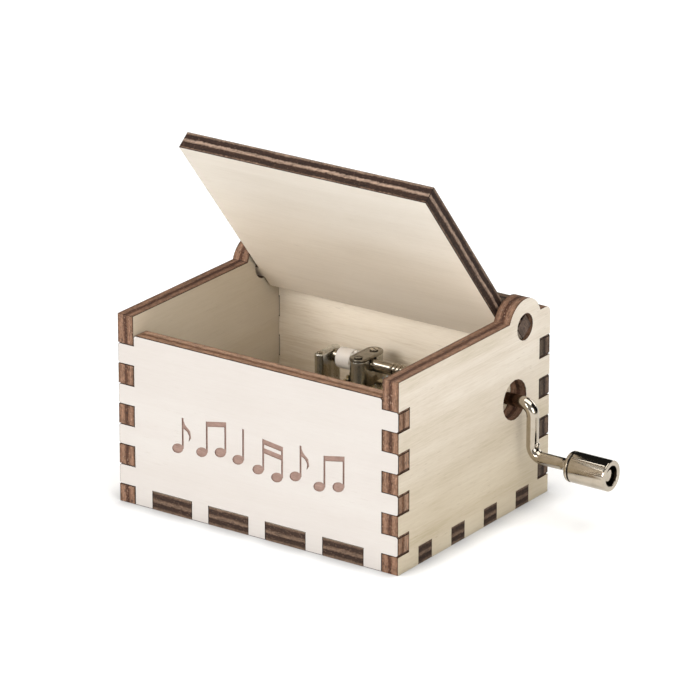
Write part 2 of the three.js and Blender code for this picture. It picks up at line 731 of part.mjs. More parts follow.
function screwNode(name, screwSize, x, y, seat) {
  return place(node(name, screw(screwSize), 'nickel'), x, y, seat + HEAD_GAP);
}

function movementParts() {
  const capSeat = RIGHT_POST.top + CAP.thickness;
  const rivet = node('left_post_rivet', screw(LEFT_RIVET, false), 'steel');
  return [
    node('movement_frame', movementFrame(), 'zinc'),
    place(node('shaft_cap', shaftCap(), 'steel'), 0, 0, RIGHT_POST.top + CAP_GAP),
    place(rivet, POST_MIDDLE.left, LEFT_RIVET_Y, LEFT_POST.top + HEAD_GAP),
    node('drum_bearing', drumBearing(), 'steel'),
    screwNode('drum_bearing_screw', BRACKET_SCREW, ...BRACKET_SCREW_PLACE, BRACKET_SEAT),
    node('comb', comb(), 'steel'),
    ...['cap_screw_front', 'cap_screw_rear'].map((name, index) => (
      screwNode(name, CAP_SCREW, POST_MIDDLE.right, CAP_SCREW_Y[index], capSeat)
    )),
    ...['comb_screw_left', 'comb_screw_right'].map((name, index) => (
      screwNode(name, COMB_SCREW, COMB_SCREW_X[index], COMB_SCREW_Y, COMB_TOP)
    )),
    ...['mount_screw_left', 'mount_screw_right', 'mount_screw_rear'].map((name, index) => (
      place(node(name, mountScrew(), 'nickel'), ...MOUNT_SCREW_PLACES[index], 0)
    )),
  ];
}

function drumGroup() {
  const capStart = DRUM.start + DRUM.length - DRUM_END.cap - DRUM_END.capInset;
  const group = new THREE.Group();
  group.position.set(0, DRUM.y, DRUM.z);
  group.add(
    place(node('drum', drum(), 'brass'), DRUM.start, 0, 0),
    place(node('drum_end_cap', drumEndCap(), 'brass'), capStart, 0, 0),
    node('drum_gear', drumGear(), 'brass'),
    node('drum_arbor', drumArbor(), 'steel'),
  );
  return group;
}

function crankGroup() {
  const group = new THREE.Group();
  group.position.set(0, CRANK.y, CRANK.z);
  group.add(
    node('crank', crank(), 'nickel'),
    node('crank_pinion', crankPinion(), 'nylon'),
    place(node('crank_knob', crankKnob(), 'nickel'), KNOB.start, 0, -CRANK.armLength),
  );
  return group;
}

function lidGroup() {
  const group = new THREE.Group();
  group.position.set(0, PIVOT.y, PIVOT.z);
  group.rotation.x = -THREE.MathUtils.degToRad(LID.openAngle);
  group.add(node('lid', lid(), 'plywood'));
  return group;
}

const musicBox = new THREE.Group();
musicBox.add(...caseParts(), ...movementParts(), drumGroup(), crankGroup(), lidGroup());

export default musicBox;
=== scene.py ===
"""The looks of the hand-crank music box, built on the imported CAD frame. Lengths in
helpers are millimetres unless a name says otherwise; Blender itself works in metres."""
import json
import math

import bmesh
import bpy
from mathutils import Matrix, Vector

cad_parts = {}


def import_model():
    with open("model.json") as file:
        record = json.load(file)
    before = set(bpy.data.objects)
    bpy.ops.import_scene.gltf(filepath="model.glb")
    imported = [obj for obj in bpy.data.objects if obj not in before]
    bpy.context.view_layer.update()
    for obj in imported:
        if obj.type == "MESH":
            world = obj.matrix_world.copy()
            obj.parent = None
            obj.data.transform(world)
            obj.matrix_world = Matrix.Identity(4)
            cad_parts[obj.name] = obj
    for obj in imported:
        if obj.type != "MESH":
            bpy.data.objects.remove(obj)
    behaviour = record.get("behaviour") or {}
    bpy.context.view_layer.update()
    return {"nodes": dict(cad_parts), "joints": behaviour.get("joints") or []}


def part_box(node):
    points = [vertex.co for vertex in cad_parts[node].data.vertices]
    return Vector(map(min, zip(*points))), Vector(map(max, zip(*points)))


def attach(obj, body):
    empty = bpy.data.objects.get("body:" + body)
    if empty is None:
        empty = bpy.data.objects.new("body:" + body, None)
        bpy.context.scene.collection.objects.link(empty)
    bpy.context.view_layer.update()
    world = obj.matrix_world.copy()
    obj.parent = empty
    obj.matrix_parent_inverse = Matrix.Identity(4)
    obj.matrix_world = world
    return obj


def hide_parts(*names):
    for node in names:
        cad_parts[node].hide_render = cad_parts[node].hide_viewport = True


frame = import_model()
MM = 0.001
MIX_INPUTS, MIX_OUTPUT = (0, 6, 7), 2    # a Mix node's factor and colours, and its colour out

# ---- Node helpers ------------------------------------------------------------------------

def linear(r, g, b):
    """A colour given as 0-255 screen values, as Blender's linear values."""
    def one(value):
        v = value / 255
        return v / 12.92 if v <= 0.04045 else ((v + 0.055) / 1.055) ** 2.4
    return (one(r), one(g), one(b), 1.0)


class Nodes:
    """Short ways to add nodes to one material."""

    def __init__(self, name):
        self.material = bpy.data.materials.new(name)
        self.material.use_nodes = True
        self.tree = self.material.node_tree
        self.tree.nodes.clear()
        self.out = self.tree.nodes.new("ShaderNodeOutputMaterial")
        self.shader = self.tree.nodes.new("ShaderNodeBsdfPrincipled")
        self.link(self.shader.outputs[0], self.out.inputs[0])
        self.place = self.tree.nodes.new("ShaderNodeTexCoord").outputs["Object"]

    def link(self, a, b):
        self.tree.links.new(a, b)

    def put(self, socket, value):
        """Links a socket into another, or sets its value."""
        if isinstance(value, bpy.types.NodeSocket):
            self.link(value, socket)
        else:
            socket.default_value = value

    def set(self, **values):
        """Puts values on the shader's sockets, named with _ for a space."""
        for name, value in values.items():
            self.put(self.shader.inputs[name.replace("_", " ")], value)

    def scaled(self, scale, shift=(0, 0, 0)):
        """Object coordinates in millimetres, times scale."""
        node = self.tree.nodes.new("ShaderNodeMapping")
        self.link(self.place, node.inputs["Vector"])
        node.inputs["Scale"].default_value = [s / MM for s in scale]
        node.inputs["Location"].default_value = shift
        return node.outputs[0]

    def noise(self, scale, detail=3, rough=0.55, shift=(0, 0, 0), distortion=0):
        """Noise with scale features a millimetre along each axis."""
        node = self.tree.nodes.new("ShaderNodeTexNoise")
        self.link(self.scaled(scale, shift), node.inputs["Vector"])
        node.inputs["Scale"].default_value = 1
        node.inputs["Detail"].default_value = detail
        node.inputs["Roughness"].default_value = rough
        node.inputs["Distortion"].default_value = distortion
        return node.outputs[0]

    def math(self, kind, a, b=0.0, c=0.0):
        node = self.tree.nodes.new("ShaderNodeMath")
        node.operation = kind
        for socket, value in zip(node.inputs, (a, b, c)):
            self.put(socket, value)
        return node.outputs[0]

    def axis(self, name):
        """One object coordinate, in millimetres."""
        node = self.tree.nodes.new("ShaderNodeSeparateXYZ")
        self.link(self.place, node.inputs[0])
        return self.math("DIVIDE", node.outputs[name], MM)

    def steps(self, value, low, high):
        """0 at low and 1 at high, eased between."""
        node = self.tree.nodes.new("ShaderNodeMapRange")
        node.interpolation_type = "SMOOTHSTEP"
        self.put(node.inputs["Value"], value)
        node.inputs["From Min"].default_value = low
        node.inputs["From Max"].default_value = high
        return node.outputs["Result"]

    def ramp(self, value, *stops):
        """A colour from (position, red, green, blue) stops, the last three on a 0-255 scale."""
        node = self.tree.nodes.new("ShaderNodeValToRGB")
        elements = node.color_ramp.elements
        for element, (position, *rgb) in ((elements[0], stops[0]), (elements[1], stops[-1])):
            element.position = position
            element.color = linear(*rgb)
        for position, *rgb in stops[1:-1]:
            elements.new(position).color = linear(*rgb)
        self.put(node.inputs[0], value)
        return node.outputs[0]

    def mix(self, amount, a, b, kind="MIX"):
        node = self.tree.nodes.new("ShaderNodeMix")
        node.data_type = "RGBA"
        node.blend_type = kind
        for socket, value in zip(MIX_INPUTS, (amount, a, b)):
            self.put(node.inputs[socket], value)
        return node.outputs[MIX_OUTPUT]

    def contact_shade(self, reach, power):
        """1 in the open, and less within reach millimetres of another surface. A higher power
        is darker."""
        node = self.tree.nodes.new("ShaderNodeAmbientOcclusion")
        node.inputs["Distance"].default_value = reach * MM
        return self.math("POWER", node.outputs["AO"], power)

    def bump(self, height, depth):
        """Bump from a height of 0 to 1 that stands for depth millimetres."""
        node = self.tree.nodes.new("ShaderNodeBump")
        node.inputs["Strength"].default_value = 1
        node.inputs["Distance"].default_value = depth * MM
        self.put(node.inputs["Height"], height)
        return node.outputs[0]


# ---- Materials ---------------------------------------------------------------------------

PLY = 3.6                                # thickness of the plywood
WOOD_SPECULAR = 0.28
CHAR_SPECULAR = 0.25
# Painted shade: where each sheet starts to darken and is darkest, along its own Y, and the tint
# there.
LID_PAINTED_SHADE = (322, 290, (0.82, 0.86, 0.92, 1))
SIDE_PAINTED_SHADE = (186, 152, (0.76, 0.73, 0.64, 1))


def veneer(name, pale, mid, dark, contrast=1.0, ticks=0.45, painted_shade=None):
    """A plywood face: local X is along the grain, and Z is through the sheet. Ticks is how
    strongly the pores show. Painted shade can make the wood darker towards one side."""
    n = Nodes(name)
    fibre = n.noise((0.16, 3.2, 3.2), detail=4, rough=0.62, distortion=0.25)
    fine = n.noise((0.5, 9, 9), detail=2, rough=0.5)
    bands = n.noise((0.012, 0.21, 0.21), detail=3, rough=0.5, distortion=0.5)
    cloud = n.noise((0.05, 0.07, 0.07), detail=2, rough=0.4, shift=(7, 3, 1))
    pores = n.noise((0.42, 6.5, 6.5), detail=1, rough=0.3, shift=(3, 11, 5))
    pore_mask = n.math("MULTIPLY", n.steps(pores, 0.68, 0.78), n.steps(cloud, 0.40, 0.60))
    tone = n.math("MULTIPLY_ADD", fibre, 0.45, n.math("MULTIPLY", fine, 0.2))
    tone = n.math("MULTIPLY_ADD", bands, 0.5, tone)
    tone = n.math("MULTIPLY_ADD", cloud, 0.35, tone)
    middle = 0.74
    tone = n.math("MULTIPLY_ADD", tone, contrast, middle * (1 - contrast))
    colour = n.ramp(tone, (0.50, *dark), (middle, *mid), (0.98, *pale))
    colour = n.mix(n.math("MULTIPLY", pore_mask, ticks), colour, linear(128, 104, 78))
    # Painted shade: darker and tinted towards one side of the sheet.
    if painted_shade is not None:
        start, end, tint = painted_shade
        colour = n.mix(n.steps(n.axis("Y"), start, end), colour, tint, "MULTIPLY")
    rough = n.math("MULTIPLY_ADD", fibre, 0.2, 0.55)
    height = n.math("SUBTRACT", n.math("MULTIPLY_ADD", fine, 0.4, fibre), pore_mask)
    n.set(Base_Color=colour, Roughness=rough, Normal=n.bump(height, 0.022 * contrast))
    n.shader.inputs["Specular IOR Level"].default_value = WOOD_SPECULAR
    return n.material


def burnt_edge(name, *stops, specks=0.5):
    """The laser-cut edge of the plywood: charred plies with scorched glue lines between. The
    stops are colours through the sheet, at shares of its thickness from the outer face."""
    n = Nodes(name)
    depth = n.math("DIVIDE", n.axis("Z"), -PLY)
    drift = n.math("MULTIPLY_ADD", n.noise((0.22, 0.22, 0.05), detail=2), 0.16, -0.08)
    ragged = n.noise((2.2, 2.2, 0.6), detail=3, shift=(4, 9, 2))
    ragged = n.math("MULTIPLY_ADD", ragged, 0.12, -0.06)
    depth = n.math("ADD", n.math("ADD", depth, drift), ragged)
    streak = n.noise((0.30, 0.55, 5.0), detail=4, rough=0.62)
    blotch = n.noise((1.3, 1.3, 2.6), detail=4, rough=0.65, shift=(5, 2, 9))
    tone = n.math("MULTIPLY", n.math("MULTIPLY", streak, 2.0),
                  n.math("MULTIPLY_ADD", blotch, 1.8, 0.08))
    colour = n.mix(1, n.ramp(depth, *stops), tone, "MULTIPLY")
    pale = n.steps(n.noise((2.0, 2.0, 3.2), detail=3, shift=(8, 1, 3)), 0.58, 0.72)
    colour = n.mix(n.math("MULTIPLY", pale, specks), colour, linear(172, 141, 121))
    char = n.steps(n.noise((0.9, 0.9, 2.0), detail=3, shift=(2, 4, 8)), 0.56, 0.72)
    colour = n.mix(n.math("MULTIPLY", char, 0.6), colour, linear(34, 21, 14))
    n.set(Base_Color=colour, Roughness=n.math("MULTIPLY_ADD", char, -0.2, 0.82))
    n.set(Normal=n.bump(n.math("ADD", streak, blotch), 0.07))
    n.shader.inputs["Specular IOR Level"].default_value = CHAR_SPECULAR
    return n.material


def char_and_gap_shade(name, base, second):
    """Bare char on the rim where an edge meets a face, near black so that it is also painted shade
    for the joints' gaps.
    """
    n = Nodes(name)
    patch = n.noise((1.2, 1.2, 1.2), detail=3)
    colour = n.mix(n.steps(patch, 0.35, 0.65), linear(*base), linear(*second))
    n.set(Base_Color=colour, Roughness=0.85)
    n.set(Normal=n.bump(patch, 0.04))
    n.shader.inputs["Specular IOR Level"].default_value = CHAR_SPECULAR
    return n.material


def engraved_wood():
    """The floor of the engraving, scorched in close parallel passes of the laser."""
    n = Nodes("engraved_wood")
    passes = n.noise((0.4, 9, 9), detail=2)
    patch = n.noise((0.8, 0.8, 0.8), detail=3)
    tone = n.math("MULTIPLY_ADD", passes, 0.6, n.math("MULTIPLY", patch, 0.4))
    colour = n.ramp(tone, (0.3, 118, 93, 83), (0.7, 156, 130, 118))
    n.set(Base_Color=colour, Roughness=0.9, Normal=n.bump(passes, 0.05))
    return n.material


def metal(name, base, second, rough, rough_spread, depth, grain=(1.2, 1.2, 1.2), dirt=0.0):
    """A metal with fine surface texture depth millimetres deep, and a patchy tarnish."""
    n = Nodes(name)
    fine = n.noise(tuple(6 * g for g in grain), detail=3)
    patch = n.noise(tuple(0.5 * g for g in grain), detail=4, rough=0.6, shift=(3, 8, 2))
    colour = n.mix(n.steps(patch, 0.35, 0.7), linear(*base), linear(*second))
    if dirt:
        spots = n.steps(n.noise((2.4, 2.4, 2.4), detail=3, shift=(9, 1, 4)), 0.56, 0.72)
        colour = n.mix(n.math("MULTIPLY", spots, dirt), colour, linear(52, 46, 38))
    roughness = n.math("MULTIPLY_ADD", patch, rough_spread, rough - rough_spread / 2)
    n.set(Base_Color=colour, Roughness=roughness, Normal=n.bump(fine, depth))
    n.shader.inputs["Metallic"].default_value = 1
    return n.material


def nylon(name, base, second):
    """White nylon with a soft sheen, a little see-through."""
    n = Nodes(name)
    patch = n.noise((0.6, 0.6, 0.6), detail=3)
    fine = n.noise((7, 7, 7), detail=2, shift=(1, 6, 3))
    n.set(Base_Color=n.mix(patch, linear(*base), linear(*second)), Normal=n.bump(fine, 0.006))
    n.set(Roughness=n.math("MULTIPLY_ADD", fine, 0.15, 0.34))
    n.shader.inputs["Subsurface Weight"].default_value = 0.2
    n.shader.inputs["Subsurface Radius"].default_value = (0.6, 0.5, 0.4)
    n.shader.inputs["Subsurface Scale"].default_value = MM
    return n.material


CREAM = veneer("basswood_face", (219, 206, 185), (210, 196, 173), (196, 180, 154), 1.5)
# The side sheet is darker and yellower towards the bottom: painted shade.
SIDE = veneer("basswood_side_face", (224, 214, 199), (215, 203, 186), (200, 188, 166), 1.5,
              painted_shade=SIDE_PAINTED_SHADE)
PLAIN = veneer("basswood_plain_face", (206, 193, 173), (199, 185, 163), (189, 173, 150), 0.9,
               ticks=0.12)
STREAKED = veneer("basswood_streaked_face", (246, 234, 214), (239, 226, 205), (224, 208, 183), 1.6,
                  ticks=0.3)
# The lid's inner face is darker and greyer towards its free edge: painted shade.
LID_FACE = veneer("basswood_lid_face", (227, 215, 197), (221, 208, 189), (211, 197, 177), 0.9,
                  ticks=0.1, painted_shade=LID_PAINTED_SHADE)
PALE = veneer("basswood_front_face", (190, 186, 180), (186, 180, 174), (181, 174, 167), 0.8,
              ticks=0.12)
WALL_EDGE = burnt_edge("burnt_wall_edge", (0, 78, 55, 39), (0.1, 114, 85, 66), (0.2, 128, 97, 77),
                       (0.36, 118, 88, 69), (0.43, 76, 50, 36), (0.57, 68, 44, 31),
                       (0.64, 106, 77, 59), (0.8, 128, 97, 77), (0.92, 108, 80, 61),
                       (1, 72, 50, 35))
FRONT_EDGE = burnt_edge("burnt_front_edge", (0, 104, 76, 55), (0.12, 136, 105, 83),
                        (0.3, 132, 101, 79), (0.38, 100, 70, 50), (0.46, 88, 59, 41),
                        (0.56, 122, 92, 72), (0.66, 150, 120, 98), (0.84, 150, 119, 97),
                        (0.94, 118, 90, 69), (1, 84, 60, 41))
BACK_EDGE = burnt_edge("burnt_back_edge", (0, 62, 45, 33), (0.16, 102, 83, 68), (0.34, 90, 71, 57),
                       (0.42, 44, 30, 21), (0.56, 40, 28, 20), (0.66, 76, 61, 48),
                       (0.86, 84, 71, 58), (1, 50, 36, 26), specks=0.2)
BASE_EDGE = burnt_edge("burnt_base_edge", (0, 104, 86, 72), (0.1, 94, 76, 62), (0.18, 52, 36, 26),
                       (0.38, 46, 31, 22), (0.46, 104, 84, 69), (0.58, 94, 75, 61),
                       (0.66, 52, 36, 26), (0.86, 48, 33, 24), (0.94, 90, 71, 57),
                       (1, 100, 82, 67), specks=0.2)
LID_EDGE = burnt_edge("burnt_lid_edge", (0, 132, 113, 98), (0.1, 108, 89, 74), (0.17, 48, 31, 22),
                      (0.39, 40, 25, 17), (0.46, 146, 124, 107), (0.56, 138, 115, 98),
                      (0.63, 50, 33, 23), (0.88, 42, 27, 18), (0.95, 100, 79, 64),
                      (1, 134, 113, 97), specks=0.2)
PIN_END = burnt_edge("burnt_pin_end", (0, 78, 64, 54), (0.5, 92, 76, 65), (1, 80, 66, 56),
                     specks=0.15)
# Char on every rim, near black as painted shadow of the joints' gaps as well.
CHAR_AND_GAP_SHADE = char_and_gap_shade("char", (52, 34, 25), (26, 16, 11))
ENGRAVED = engraved_wood()
ZINC = metal("cast_zinc", (222, 220, 212), (188, 186, 176), 0.22, 0.10, 0.035,
             grain=(1.4, 1.4, 0.3), dirt=0.35)
NICKEL = metal("bright_nickel", (180, 170, 155), (168, 158, 142), 0.10, 0.05, 0.0012)
CAP_METAL = metal("cap_plate", (148, 141, 128), (122, 115, 102), 0.24, 0.12, 0.006, dirt=0.45)
STEEL = metal("ground_steel", (176, 176, 172), (158, 157, 152), 0.28, 0.12, 0.004,
              grain=(0.3, 3, 3))
DRUM_METAL = metal("drum_brass", (196, 184, 158), (178, 164, 134), 0.20, 0.12, 0.003)
NYLON = nylon("white_nylon", (238, 231, 222), (229, 220, 209))
# Painted shade for the knob's groove and recess, with dirt spots.
RECESS_SHADE_METAL = metal("recess_painted_shade", (60, 54, 47), (36, 32, 28), 0.3, 0.2, 0.004, dirt=0.5)


# ---- Mesh helpers ------------------------------------------------------------------------

def make(name, bm, body, materials, replaced, matrix=None, smooth=None):
    """A new piece from a bmesh in metres, riding on a body in place of one CAD node. Smooth
    is the angle in degrees above which edges stay sharp."""
    mesh = bpy.data.meshes.new(name)
    bm.to_mesh(mesh)
    bm.free()
    obj = bpy.data.objects.new(name, mesh)
    bpy.context.scene.collection.objects.link(obj)
    for material in materials:
        mesh.materials.append(material)
    if matrix is not None:
        obj.matrix_world = matrix
    if smooth is not None:
        shade(obj, smooth)
    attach(obj, body)
    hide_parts(replaced)
    return obj


def shade(obj, angle):
    """Smooth shading, with edges above the angle kept sharp."""
    obj.data.shade_smooth()
    obj.modifiers.new("sharp", "EDGE_SPLIT").split_angle = math.radians(angle)


def bevel(obj, width, segments=2, angle=30, material=-1):
    """Rounds the edges above the angle, the rounding in one of the object's own materials."""
    modifier = obj.modifiers.new("rounded", "BEVEL")
    modifier.width = width * MM
    modifier.segments = segments
    modifier.limit_method = "ANGLE"
    modifier.angle_limit = math.radians(angle)
    modifier.material = material


MERGE = 1e-7                             # metres


def cad_bmesh(node):
    """A clean copy of a CAD node's mesh, its flat faces merged."""
    bm = bmesh.new()
    bm.from_mesh(frame["nodes"][node].data)
    bmesh.ops.remove_doubles(bm, verts=bm.verts, dist=MERGE)
    bmesh.ops.dissolve_limit(bm, angle_limit=math.radians(0.5), verts=bm.verts, edges=bm.edges)
    return bm


def loose(name, bm, material):
    """A cutting tool: an object that is on no body, and is deleted after its cut."""
    mesh = bpy.data.meshes.new(name)
    bm.to_mesh(mesh)
    bm.free()
    mesh.materials.append(material)
    obj = bpy.data.objects.new(name, mesh)
    bpy.context.scene.collection.objects.link(obj)
    return obj


def carve(obj, tools):
    """Cuts the tools out of the object. Cut faces take the tools' material."""
    for tool in tools:
        modifier = obj.modifiers.new("carve", "BOOLEAN")
        modifier.operation = "DIFFERENCE"
        modifier.solver = "EXACT"
        modifier.use_self = True
        modifier.material_mode = "TRANSFER"
        modifier.object = tool
    graph = bpy.context.evaluated_depsgraph_get()
    mesh = bpy.data.meshes.new_from_object(obj.evaluated_get(graph))
    obj.modifiers.clear()
    obj.data = mesh
    for tool in tools:
        bpy.data.objects.remove(tool, do_unlink=True)


RING_MERGE = 1e-8                        # metres


def ringed(rings, closed=True):
    """A bmesh through rings of points in millimetres, each joined to the next. The first and
    last are filled in if it is closed."""
    bm = bmesh.new()
    loops = [[bm.verts.new([c * MM for c in point]) for point in ring] for ring in rings]
    count = len(loops[0])
    for a, b in zip(loops, loops[1:]):
        for i in range(count):
            j = (i + 1) % count
            bm.faces.new((a[i], a[j], b[j], b[i]))
    if closed:
        bm.faces.new(list(reversed(loops[0])))
        bm.faces.new(loops[-1])
    bmesh.ops.remove_doubles(bm, verts=bm.verts, dist=RING_MERGE)
    bmesh.ops.recalc_face_normals(bm, faces=bm.faces)
    return bm


LEAST_RADIUS = 1e-4


def turned(profile, sides=48, axis="X", centre=(0, 0, 0), closed=True):
    """A turned shape from (distance along the axis, radius) pairs, in millimetres. Its profile
    goes round to where it began unless the shape is closed at its ends."""
    rings = []
    for along, radius in profile:
        radius = max(radius, LEAST_RADIUS)
        ring = []
        for i in range(sides):
            angle = 2 * math.pi * i / sides
            c, s = radius * math.cos(angle), radius * math.sin(angle)
            point = (along, c, s) if axis == "X" else (c, s, along)
            ring.append([p + q for p, q in zip(point, centre)])
        rings.append(ring)
    if not closed:
        rings.append(rings[0])
    return ringed(rings, closed)


def rounded(corners, radius, steps=4):
    """The profile with each inner corner replaced by a curve. A corner's third value is its
    own radius."""
    out = []
    for i, corner in enumerate(corners):
        own = corner[2] if len(corner) > 2 else radius
        if i in (0, len(corners) - 1) or own == 0:
            out.append((corner[0], corner[1]))
            continue
        here = Vector(corner[:2])
        before = Vector(corners[i - 1][:2]) - here
        after = Vector(corners[i + 1][:2]) - here
        reach = min(own, before.length * 0.49, after.length * 0.49)
        a = here + before.normalized() * reach
        b = here + after.normalized() * reach
        for k in range(steps + 1):
            t = k / steps
            out.append(tuple(a * (1 - t) ** 2 + here * 2 * t * (1 - t) + b * t * t))
    return out


def quarter(steps):
    """The angles of a quarter turn in equal steps, without the first."""
    return [math.pi / 2 * k / steps for k in range(1, steps + 1)]


def stadium(x, width, y0, y1, inset, z, steps=14):
    """A ring with straight sides along Y and round ends, at height z."""
    radius = width / 2 - inset
    middle = x + width / 2
    ring = []
    for y, start in ((y1 - width / 2, 0), (y0 + width / 2, math.pi)):
        for k in range(steps + 1):
            angle = start + math.pi * k / steps
            ring.append((middle + radius * math.cos(angle), y + radius * math.sin(angle), z))
    return ring


def joined(first, *others):
    """One bmesh from several, their shapes overlapping or touching."""
    for other in others:
        mesh = bpy.data.meshes.new("part")
        other.to_mesh(mesh)
        other.free()
        first.from_mesh(mesh)
        bpy.data.meshes.remove(mesh)
    return first


def block(low, high):
    """A box between two corners in millimetres, for cutting with or for bevelling."""
    bm = bmesh.new()
    bmesh.ops.create_cube(bm, size=1)
    for v in bm.verts:
        v.co = Vector([(a + (c + 0.5) * (b - a)) * MM for a, b, c in zip(low, high, v.co)])
    return bm


def turn_and_move(bm, angle, axis, move):
    """Turns a bmesh about an axis through the origin, then moves it by some millimetres."""
    bmesh.ops.rotate(bm, cent=(0, 0, 0), matrix=Matrix.Rotation(angle, 3, axis), verts=bm.verts)
    bmesh.ops.translate(bm, vec=Vector(move) * MM, verts=bm.verts)


def bounds_mm(node):
    """A CAD node's low and high corners in millimetres."""
    return [Vector(corner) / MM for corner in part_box(node)]


# ---- Engraving ---------------------------------------------------------------------------

NOTE = {"head_x": 1.35, "head_y": 0.95, "tilt": 22, "stem": 0.42, "height": 6.4, "beam": 1.05,
        "gap": 4.3, "second": 1.75}      # gap is between two heads, second between two beams
STEM_SIDE = NOTE["head_x"] - 0.15        # a stem's place, right of its head's middle
# A flag's outline, from the top of its stem to the right and down.
FLAG = [(0, 0), (0.55, 1.25), (1.75, 2.35), (1.95, 3.7), (1.35, 4.5), (1.5, 3.4), (1.05, 2.6),
        (0, 2.0)]
ORNAMENT_LOW = 13.8                      # height of the row on the front
ENGRAVING_DEPTH, ENGRAVING_CLEAR = 0.22, 0.5


def outline_prism(points):
    """A prism across the face of the front panel, in the panel's own frame."""
    bm = bmesh.new()
    low = [bm.verts.new((x * MM, y * MM, -ENGRAVING_DEPTH * MM)) for x, y in points]
    high = [bm.verts.new((x * MM, y * MM, ENGRAVING_CLEAR * MM)) for x, y in points]
    bm.faces.new(list(reversed(low)))
    bm.faces.new(high)
    for i in range(len(points)):
        j = (i + 1) % len(points)
        bm.faces.new((low[i], low[j], high[j], high[i]))
    bmesh.ops.recalc_face_normals(bm, faces=bm.faces)
    return bm


def note_head(x, y):
    tilt = math.radians(NOTE["tilt"])
    points = []
    steps = 24
    for i in range(steps):
        a = 2 * math.pi * i / steps
        c, s = NOTE["head_x"] * math.cos(a), NOTE["head_y"] * math.sin(a)
        points.append((x + c * math.cos(tilt) - s * math.sin(tilt),
                       y + c * math.sin(tilt) + s * math.cos(tilt)))
    return points


def stem(x, y0, y1):
    half = NOTE["stem"] / 2
    return [(x - half, y0), (x + half, y0), (x + half, y1), (x - half, y1)]


def single_note(x, y, flag):
    right = x + STEM_SIDE
    top = y + NOTE["height"]
    shapes = [note_head(x, y), stem(right, y + 0.2, top)]
    if flag:
        shapes.append([(right + x, top - y) for x, y in FLAG])
    return shapes


def beamed_pair(x, y, rise, second_beam=False):
    gap, half = NOTE["gap"], NOTE["stem"] / 2
    a, b = x + STEM_SIDE, x + gap + STEM_SIDE
    top_a, top_b = y + NOTE["height"], y + NOTE["height"] + rise
    shapes = [note_head(x, y), note_head(x + gap, y + rise), stem(a, y + 0.2, top_a - 0.3),
              stem(b, y + rise + 0.2, top_b - 0.3)]
    for drop in (0, NOTE["second"]) if second_beam else (0,):
        beam = NOTE["beam"]
        shapes.append([(a - half, top_a - beam - drop), (b + half, top_b - beam - drop),
                       (b + half, top_b - drop), (a - half, top_a - drop)])
    return shapes


def ornament():
    """A row of notes on the front, in place of any writing."""
    low = ORNAMENT_LOW
    shapes = single_note(-18.2, low, True)
    shapes += beamed_pair(-12.6, low + 0.5, 0.9)
    shapes += single_note(-4.2, low + 0.9, False)
    shapes += beamed_pair(0.4, low, -0.6, second_beam=True)
    shapes += single_note(8.9, low + 0.6, True)
    shapes += beamed_pair(14.3, low - 0.2, 0.9)
    return [outline_prism(points) for points in shapes]


# ---- Panels ------------------------------------------------------------------------------

LID_ANGLE = 51.2                         # how far the lid is open at rest, in degrees
PIN_X = 30                               # the hinge pins' ends are further out than this
SHEET_BEVEL = 0.11                       # width of the rim between face and edge: char, and painted shade for the joints' gaps
ALONG, ACROSS = 0.7, 0.9                 # how far a normal leans along an axis to count as on it
# Where each sheet's own frame starts, so that each is cut from another part of the texture.
SHIFTS = {"front_panel": (310, 40), "back_panel": (620, 90), "right_panel": (930, 150),
          "left_panel": (1240, 210), "bottom_panel": (1550, 260), "lid": (1860, 330)}


def basis(x, y, z, origin):
    """A placing matrix whose columns are the given axes, with its origin in metres."""
    m = Matrix((x, y, z)).transposed().to_4x4()
    m.translation = origin
    return m


def panel(node, name, axes, outer, *looks):
    """A plywood sheet in its own frame: X along the grain, Z out of the outer face. Its looks
    are the face and the edge, then the lid's outer face and the ends of its hinge pins."""
    x, y, z = (Vector(a).normalized() for a in axes)
    along, across = SHIFTS[node]
    place = basis(x, y, z, outer - x * along * MM - y * across * MM)
    bm = cad_bmesh(node)
    bmesh.ops.transform(bm, matrix=place.inverted(), verts=bm.verts)
    for f in bm.faces:
        f.material_index = 0 if abs(f.normal.z) > ALONG else 1
        if node == "lid":
            out = abs((place @ f.calc_center_median()).x)
            if f.normal.z > ALONG:
                f.material_index = 2
            elif abs(f.normal.x) > ACROSS and out > PIN_X * MM:
                f.material_index = 3
    body = "lid" if node == "lid" else "case"
    obj = make(name, bm, body, [*looks, CHAR_AND_GAP_SHADE], node, place)
    # The rim takes the char, which is also painted shade for the joints' gaps.
    bevel(obj, SHEET_BEVEL, angle=40, material=len(looks))
    return obj


